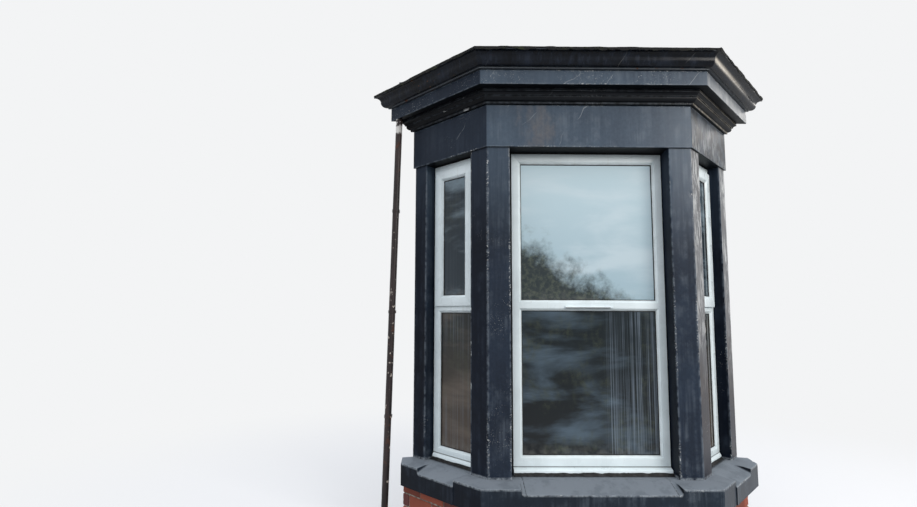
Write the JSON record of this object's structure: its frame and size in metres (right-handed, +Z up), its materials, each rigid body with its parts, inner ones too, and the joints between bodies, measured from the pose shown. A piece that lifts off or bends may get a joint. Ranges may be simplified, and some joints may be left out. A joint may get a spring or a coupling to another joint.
{
  "type": "canted bay window",
  "caption": "Canted bay window with brick base, painted stone sill, mullions and moulded cornice, ogee gutter, white framed windows and a rainwater pipe, cut off at the house wall.",
  "frame": {"origin": "on the ground, in the middle of the whole bay's box; the house wall's face is the back of the box", "axes": "+Z up, +X along the house wall to the right as seen from the street, +Y into the house"},
  "size_m": [3.0542, 0.746, 3.4844],
  "materials": {
    "brick": "red pressed brick with pale lime pointing, some bricks purple-brown",
    "painted_stone": "blue-black masonry paint, satin, chalked and chipped at the arrises",
    "gutter_iron": "gloss black paint",
    "roofing_felt": "dull black bitumen felt with grit and moss",
    "roof_timber": "sawn softwood boards",
    "lead": "dull grey lead",
    "ceiling_board": "painted white ceiling board on softwood joists",
    "white_plastic": "white window plastic, satin, slightly dirty in the corners",
    "window_glass": "clear sealed glass unit",
    "seal": "dark packing, matt",
    "pipe_iron": "old brown-black paint with drips and spots of white"
  },
  "bodies": {
    "root": {"brick_base_front": "brick", "brick_base_left": "brick", "brick_base_right": "brick", "sill_front": "painted_stone", "sill_corner_left": "painted_stone", "sill_corner_right": "painted_stone", "sill_left": "painted_stone", "sill_right": "painted_stone", "mullion_left": "painted_stone", "mullion_right": "painted_stone", "respond_left": "painted_stone", "respond_right": "painted_stone", "frieze_front": "painted_stone", "frieze_left": "painted_stone", "frieze_right": "painted_stone", "bed_mould_front": "painted_stone", "bed_mould_left": "painted_stone", "bed_mould_right": "painted_stone", "corona_front": "painted_stone", "corona_left": "painted_stone", "corona_right": "painted_stone", "gutter_front": "gutter_iron", "gutter_left": "gutter_iron", "gutter_right": "gutter_iron", "gutter_lining": "roofing_felt", "roof_deck": "roof_timber", "roof_felt": "roofing_felt", "wall_flashing": "lead", "ceiling": "ceiling_board", "front_frame": "white_plastic", "front_upper_glass": "window_glass", "front_lower_glass": "window_glass", "trickle_vent": "white_plastic", "left_frame": "white_plastic", "left_sash": "white_plastic", "left_upper_glass": "window_glass", "left_lower_glass": "window_glass", "right_frame": "white_plastic", "right_sash": "white_plastic", "right_upper_glass": "window_glass", "right_lower_glass": "window_glass", "window_cills": "white_plastic", "window_seals": "seal", "downpipe": "pipe_iron", "pipe_clips": "pipe_iron"}
  },
  "joints": []
}
